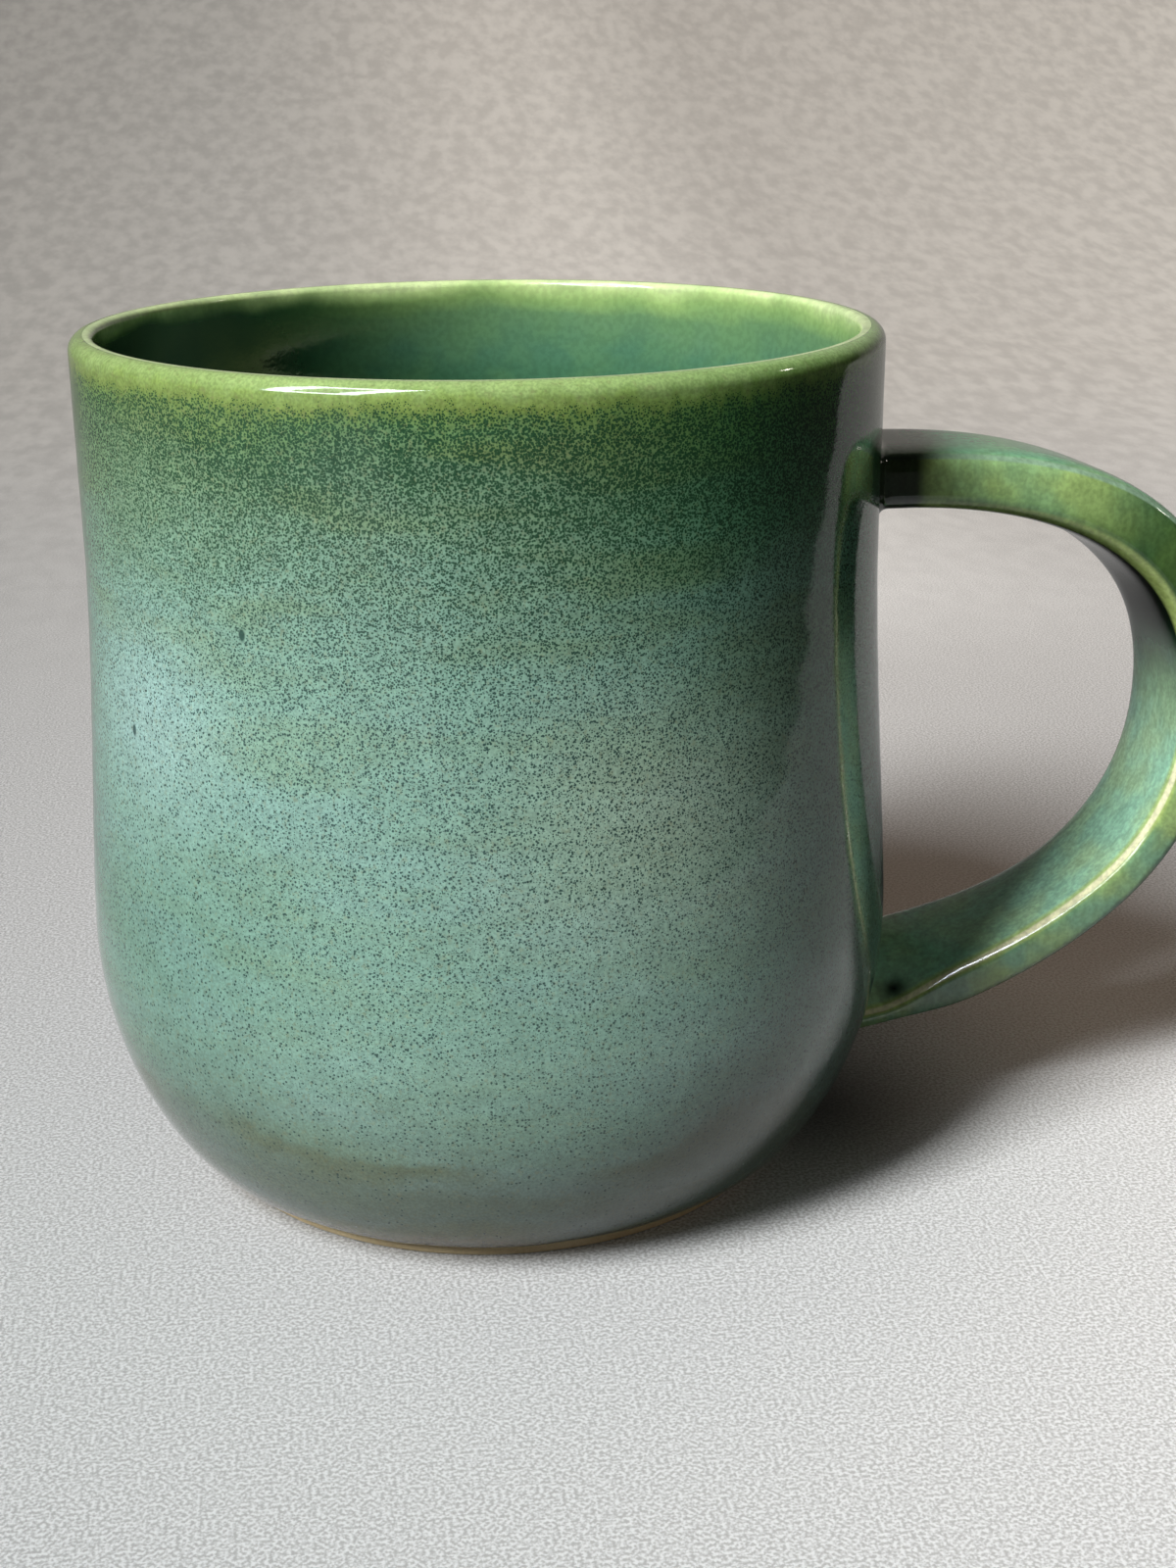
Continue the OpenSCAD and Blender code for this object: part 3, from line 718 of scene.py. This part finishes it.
def rootLoops(s, grow, coatLine, rings, flare):
    # the end section carried to the round wall, spreading into a hollow fillet as it gets there
    ahead = pathAt(s)[1]
    section = sectionAt(s, grow, strap["sides"])
    middle = sum(section, Vector()) / len(section)
    loops = []
    for k in range(1, rings + 1):
        t = k / rings
        loop = []
        for p in section:
            landing = p - ahead * ((p.x - wallRadius(p.z, coatLine)) / ahead.x)
            wallX = math.sqrt(wallRadius(landing.z, coatLine) ** 2 - landing.y ** 2)
            here = p.lerp(Vector((wallX, landing.y, landing.z)), t)
            gap = max(here.x - wallX, 0)
            spread = flare * (1 - math.sqrt(max(0, 1 - (1 - min(gap / flare, 1)) ** 2))) if flare else 0
            side = Vector((0, here.y - middle.y, here.z - landing.z + (p - middle).z))
            here = here + side.normalized() * spread
            wallX = math.sqrt(wallRadius(here.z, coatLine) ** 2 - here.y ** 2)
            here.x = max(here.x, wallX) if k < rings else wallX - strap["bite"]
            loop.append(here)
        loops.append(loop)
    return loops


def moveRing(ring, loop, s, layer):
    # the ring's vertices go to the loop's points and note where on the strap they are
    for i, (v, p) in enumerate(zip(ring, loop)):
        a = 2 * math.pi * i / len(ring)
        v.co = p
        v[layer] = Vector((math.cos(a), math.sin(a), s))


def swept(name, grow, coatLine, rings, flares, material):
    # one loop of edges, extruded from station to station and put in its place at each
    stations = [2 * i / strap["stations"] for i in range(strap["stations"] + 1)]
    loops = list(reversed(rootLoops(0, grow, coatLine, rings, flares[0])))
    loops += [sectionAt(s, grow, strap["sides"]) for s in stations]
    loops += rootLoops(2, grow, coatLine, rings, flares[1])
    along = [-strap["rootShare"] * (rings - i) / rings for i in range(rings)]
    along += stations
    along += [2 + strap["rootShare"] * (i + 1) / rings for i in range(rings)]
    mesh = bmesh.new()
    strapPlace = mesh.verts.layers.float_vector.new("strap")  # where on the strap: round the section, and s
    made = bmesh.ops.create_circle(mesh, cap_ends=True, radius=1, segments=strap["sides"])
    ring = sorted(made["verts"], key=lambda v: v.index)
    moveRing(ring, loops[0], along[0], strapPlace)
    edges = list(mesh.edges)
    for loop, s in zip(loops[1:], along[1:]):
        made = bmesh.ops.extrude_edge_only(mesh, edges=edges)
        edges = [g for g in made["geom"] if isinstance(g, bmesh.types.BMEdge) and g.is_boundary]
        ring = orderLike(ring, edges)
        moveRing(ring, loop, s, strapPlace)
    bmesh.ops.holes_fill(mesh, edges=edges, sides=0)
    return finished(name, mesh, material)


def orderLike(ring, edges):
    # the new loop's vertices, in the order of the old loop that they came from
    fresh = {v for e in edges for v in e.verts}
    return [next(e.other_vert(v) for e in v.link_edges if e.other_vert(v) in fresh) for v in ring]


handleClay = swept("strap_clay", 0, outsideLine, strap["clayRings"], (0, 0), clayMaterial)
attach(handleClay, "root")
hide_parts("handle")
handleGlaze = swept("strap_glaze_coat", cup["glaze"], glazeOut, strap["filletRings"],
                    (strap["fillet"], strap["lowerFillet"]), handleMaterial)
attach(handleGlaze, "root")
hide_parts("handle_glaze")
for node in ("upper_slip_joint", "lower_slip_joint"):
    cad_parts[node].data.materials.clear()
    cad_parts[node].data.materials.append(slipMaterial)
print("strap swept")

# --- floor and backdrop: one sheet of pale paper, with painted light and shade: it grows paler to the right,
# dimmer in the distance and under painted shadows in three places round the cup, and glows faintly for the
# camera
stageSize = {"width": 4.0, "front": -1.2, "bend": 0.35, "radius": 1.1, "top": 2.0}
paper, tree, sheetPlace = newMaterial("pale_paper")
parts = add(tree, "ShaderNodeSeparateXYZ", inputs={0: sheetPlace})
across, deep, high = parts.outputs
distance = add(tree, "ShaderNodeMath", plus, {0: deep, 1: high})
share = add(tree, "ShaderNodeMapRange", inputs={0: distance.outputs[0], 1: -200.0, 2: 1600.0})
tone = add(tree, "ShaderNodeValToRGB", inputs={0: share.outputs[0]}, stops=[
    (0.0, linear("#d3d8dd")), (0.15, linear("#d4d5d8")), (0.4, linear("#d4d1cd")), (1.0, linear("#d0ccc6"))])
# painted light: paler towards the right
leftToRight = add(tree, "ShaderNodeMapRange", inputs={0: across, 1: -600.0, 2: 700.0})
paintedFalloff = add(tree, "ShaderNodeValToRGB", inputs={0: leftToRight.outputs[0]}, stops=rampStops(
    [(-600, 0.36), (-400, 0.42), (-200, 0.6), (-90, 0.76), (0, 0.93), (60, 1.12), (105, 1.2), (170, 1.0),
     (386, 1.38), (600, 1.85)], -600, 700))
tone = add(tree, "ShaderNodeMix", multiplied,
           {0: 1.0, 6: tone.outputs[0], 7: paintedFalloff.outputs[0]})
# pressed fibres about 0.4 mm across near the cup, and broader flecks in the distance
fibre = clouded(tree, sheetPlace, 0.38, 0.35, 0.65)
fleck = clouded(tree, sheetPlace, 6, 0.3, 0.7, detail=5.0, stretch=(1, 2, 1))
far = add(tree, "ShaderNodeMapRange", soft, {0: distance.outputs[0], 1: 100.0, 2: 500.0})
fibreShade = add(tree, "ShaderNodeMapRange", inputs={0: fibre, 3: 0.68, 4: 1.2})
fleckShade = add(tree, "ShaderNodeMapRange", inputs={0: fleck, 3: 0.87, 4: 1.09})
# painted shade: dimmer in the distance
distanceShade = add(tree, "ShaderNodeMapRange", soft, {0: distance.outputs[0], 1: 250.0, 2: 1200.0, 3: 1.0, 4: 0.78})
texture = add(tree, "ShaderNodeMix", {"data_type": "FLOAT"},
              {0: far.outputs[0], 2: fibreShade.outputs[0], 3: fleckShade.outputs[0]})
depth = add(tree, "ShaderNodeMath", times, {0: texture.outputs[0], 1: distanceShade.outputs[0]})
# painted shadow: dimmer where the cup stands over it and behind the cup, where its shadow falls
for point, size, dim in (((38, -5, 0), 25, 0.8), ((84, 76, 0), 72, 0.42), ((102, 155, 0), 100, 0.26)):
    shaded = nearPoint(tree, sheetPlace, point, size)
    shaded = add(tree, "ShaderNodeMath", timesPlus, {0: shaded, 1: -dim, 2: 1.0})
    depth = add(tree, "ShaderNodeMath", times, {0: depth.outputs[0], 1: shaded.outputs[0]})
seenColour = add(tree, "ShaderNodeVectorMath", scaled, {0: tone.outputs[2], "Scale": depth.outputs[0]})
rays = add(tree, "ShaderNodeLightPath")
seen = add(tree, "ShaderNodeMath", larger, {0: rays.outputs["Is Camera Ray"],
                                            1: rays.outputs["Is Glossy Ray"]})
# painted shade, seen only in the glaze's reflections: the paper is dark from about 0.18 m out towards the
# right front, as floor outside the window's light
darkInReflection = add(tree, "ShaderNodeVectorMath", dotProduct, {0: sheetPlace, 1: (0.616, -0.788, 0)})
darkInReflection = add(tree, "ShaderNodeMapRange", soft, {0: darkInReflection.outputs["Value"], 1: 178.0, 2: 190.0})
flat = add(tree, "ShaderNodeVectorMath", vectorLength, {0: sheetPlace})
# painted shade, seen only in the glaze's reflections: the paper is also darker close to the cup and far to the
# left
close = add(tree, "ShaderNodeMapRange", soft, {0: flat.outputs["Value"], 1: 90.0, 2: 135.0, 4: 0.33})
farLeft = add(tree, "ShaderNodeMapRange", soft, {0: across, 1: -150.0, 2: -450.0, 4: 0.6})
for zone in (close, farLeft):
    darkInReflection = add(tree, "ShaderNodeMath", larger, {0: darkInReflection.outputs[0], 1: zone.outputs[0]})
mirrored = add(tree, "ShaderNodeMath", times, {0: darkInReflection.outputs[0], 1: rays.outputs["Is Glossy Ray"]})
lit = add(tree, "ShaderNodeMath", minusClamped, {0: seen.outputs[0], 1: mirrored.outputs[0]})
# the paper is pale only to the camera and in reflections; to light that bounces off it onto the cup it is dark
# grey, which deepens the cup's shade
colour = add(tree, "ShaderNodeMix", blended,
             {0: lit.outputs[0], 6: linear("#3a3733"), 7: seenColour.outputs[0]})
# painted light: the paper glows faintly warm, for the camera only, in place of the room's light, kept out of
# the corner under the cup
uncovered = add(tree, "ShaderNodeMapRange", soft, {0: flat.outputs["Value"], 1: 36.0, 2: 85.0, 4: 0.07})
towardsRight = add(tree, "ShaderNodeMapRange", soft, {0: across, 1: -60.0, 2: 90.0, 3: 0.15, 4: 1.0})
paintedRoomGlow = add(tree, "ShaderNodeMath", times, {0: uncovered.outputs[0], 1: towardsRight.outputs[0]})
paintedRoomGlow = add(tree, "ShaderNodeMath", times, {0: paintedRoomGlow.outputs[0], 1: rays.outputs["Is Camera Ray"]})
shader = add(tree, "ShaderNodeBsdfPrincipled", inputs={
    "Base Color": colour.outputs[2], "Roughness": 0.85,
    "Emission Color": linear("#ffdec0"), "Emission Strength": paintedRoomGlow.outputs[0]})
add(tree, "ShaderNodeOutputMaterial", inputs={"Surface": shader.outputs[0]})
mesh = bmesh.new()
leftEdge = -stageSize["width"] / 2
curl = [math.radians(5 * i) for i in range(19)]
sheetLine = [Vector((leftEdge, stageSize["front"], 0))]
sheetLine += [Vector((leftEdge, stageSize["bend"] + stageSize["radius"] * math.sin(a),
                      stageSize["radius"] * (1 - math.cos(a)))) for a in curl]
sheetLine += [Vector((leftEdge, stageSize["bend"] + stageSize["radius"], stageSize["top"]))]
verts = [mesh.verts.new(p) for p in sheetLine]
edges = [mesh.edges.new(pair) for pair in zip(verts, verts[1:])]
made = bmesh.ops.extrude_edge_only(mesh, edges=edges)
farSide = [g for g in made["geom"] if isinstance(g, bmesh.types.BMVert)]
bmesh.ops.translate(mesh, vec=(stageSize["width"], 0, 0), verts=farSide)
for f in mesh.faces:
    f.smooth = True
data = bpy.data.meshes.new("paper_sweep")
mesh.to_mesh(data)
mesh.free()
data.materials.append(paper)
sweep = bpy.data.objects.new("paper_sweep", data)
bpy.context.scene.collection.objects.link(sweep)
print("paper laid")

# --- light: a tall window on the left, a little in front, and faint light from all round. The window is one
# lamp that lights and a larger one, its pane, that the glaze mirrors
lamps = {
    "window": {"azimuth": 217, "elevation": 43, "distance": 2.0, "width": 0.45, "height": 1.0,
               "watts": 57.0, "colour": "#fffdf8", "mirrored": False},
    "windowPane": {"azimuth": 217, "elevation": 43, "distance": 2.0, "width": 0.95, "height": 1.5,
                   "watts": 105.0, "colour": "#eaf2ff", "lights": False},
    # light thrown back by the room
    "fill": {"azimuth": 285, "elevation": 24, "distance": 2.0, "width": 1.3, "height": 1.0,
             "watts": 2.2, "colour": "#fff3e4", "mirrored": False},
    # only a glint on the handle's side of the glaze
    "smallLamp": {"azimuth": 4, "elevation": 28, "distance": 2.0, "width": 0.1, "height": 0.1,
                  "watts": 1.2, "colour": "#fff6e8", "lights": False},
}
target = Vector((0, 0, 0.05))
for name, lamp in lamps.items():
    data = bpy.data.lights.new(name, "AREA")
    data.shape = "RECTANGLE"
    data.size, data.size_y = lamp["width"], lamp["height"]
    data.energy = lamp["watts"]
    data.color = linear(lamp["colour"])[:3]
    a, e = math.radians(lamp["azimuth"]), math.radians(lamp["elevation"])
    away = Vector((math.cos(a) * math.cos(e), math.sin(a) * math.cos(e), math.sin(e)))
    light = bpy.data.objects.new(name, data)
    light.location = target + away * lamp["distance"]
    light.rotation_euler = away.to_track_quat("Z", "Y").to_euler()
    light.visible_diffuse = lamp.get("lights", True)
    light.visible_glossy = lamp.get("mirrored", True)
    bpy.context.scene.collection.objects.link(light)
world = bpy.data.worlds.new("room")
bpy.context.scene.world = world
world.use_nodes = True
world.node_tree.nodes.clear()
background = add(world.node_tree, "ShaderNodeBackground", inputs={
    "Color": linear("#f0e2d0"), "Strength": 0.016})
add(world.node_tree, "ShaderNodeOutputWorld", inputs={"Surface": background.outputs[0]})
print("lamps hung")

# --- camera
view = {"place": (-20.5, -234.4, 123.85), "heading": 7.727, "down": 19.326, "roll": 0.407, "focal": 49.93}
a, d, r = (math.radians(view[k]) for k in ("heading", "down", "roll"))
forward = Vector((math.sin(a) * math.cos(d), math.cos(a) * math.cos(d), -math.sin(d)))
level = Vector((math.cos(a), -math.sin(a), 0))
below = forward.cross(level)
right = math.cos(r) * level + math.sin(r) * below
under = -math.sin(r) * level + math.cos(r) * below
cameraData = bpy.data.cameras.new("camera")
cameraData.sensor_fit = "AUTO"
cameraData.sensor_width = 36
cameraData.lens = view["focal"]
cameraData.clip_start, cameraData.clip_end = 0.01, 20
camera = bpy.data.objects.new("camera", cameraData)
rotation = Matrix((right, -under, -forward)).transposed().to_4x4()
camera.matrix_world = Matrix.Translation(Vector(view["place"]) * mm) @ rotation
bpy.context.scene.collection.objects.link(camera)
bpy.context.scene.camera = camera
bpy.context.scene.view_settings.view_transform = "Standard"
